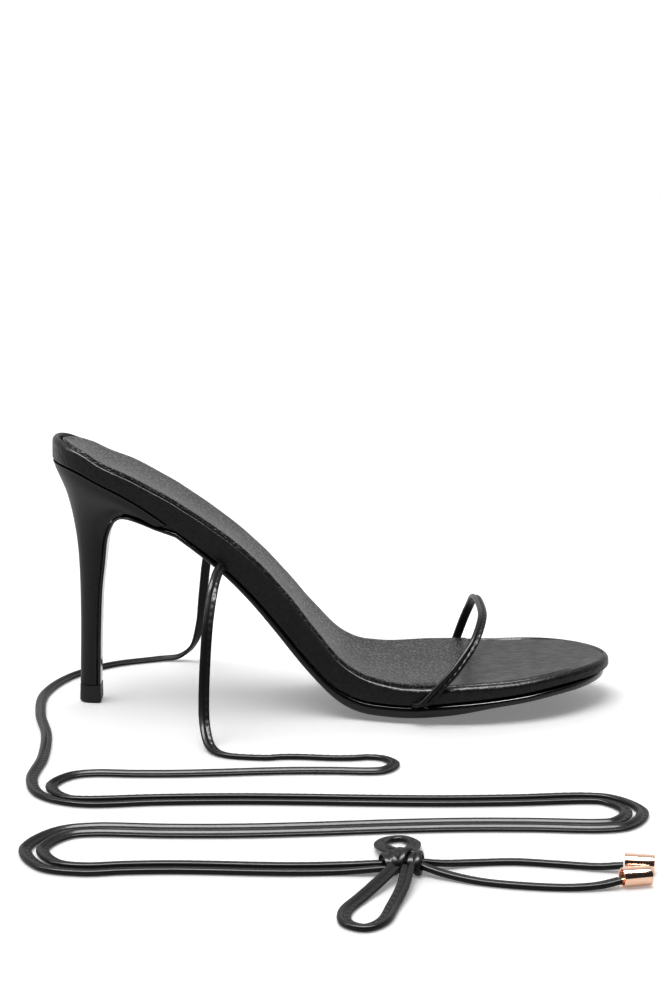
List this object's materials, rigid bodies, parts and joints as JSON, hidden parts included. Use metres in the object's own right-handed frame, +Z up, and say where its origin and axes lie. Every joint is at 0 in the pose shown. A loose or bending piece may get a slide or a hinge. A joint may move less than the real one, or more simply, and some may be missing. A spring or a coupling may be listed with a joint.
{
  "type": "lace up heeled sandal",
  "caption": "High heeled sandal with a wrapped footbed, a slim heel, one narrow strap over the toes and long ankle ties laid on the floor, their ends in a bow.",
  "frame": {"origin": "on the floor, under the middle of the shoe's length and width", "axes": "+X from the heel to the toe, +Y to the inner side of the foot, +Z up"},
  "size_m": [0.227, 0.2959, 0.1065],
  "materials": {
    "smooth_leather": "satin",
    "heel_leather": "satin",
    "grained_leather": "grained, matte",
    "sole_black": "polished",
    "tip_rubber": "matte",
    "strap_leather": "satin",
    "rose_gold": "polished"
  },
  "bodies": {
    "root": {"heel_tip": "tip_rubber", "heel": "heel_leather", "outsole": "sole_black", "footbed": "smooth_leather", "insole": "grained_leather", "toe_strap": "strap_leather", "tie_outer": "strap_leather", "tie_inner": "strap_leather", "bow_knot": "strap_leather", "bow_loop_short": "strap_leather", "bow_loop_long": "strap_leather", "tie_end_outer": "strap_leather", "tie_end_inner": "strap_leather", "tip_outer": "rose_gold", "tip_inner": "rose_gold"}
  },
  "joints": []
}
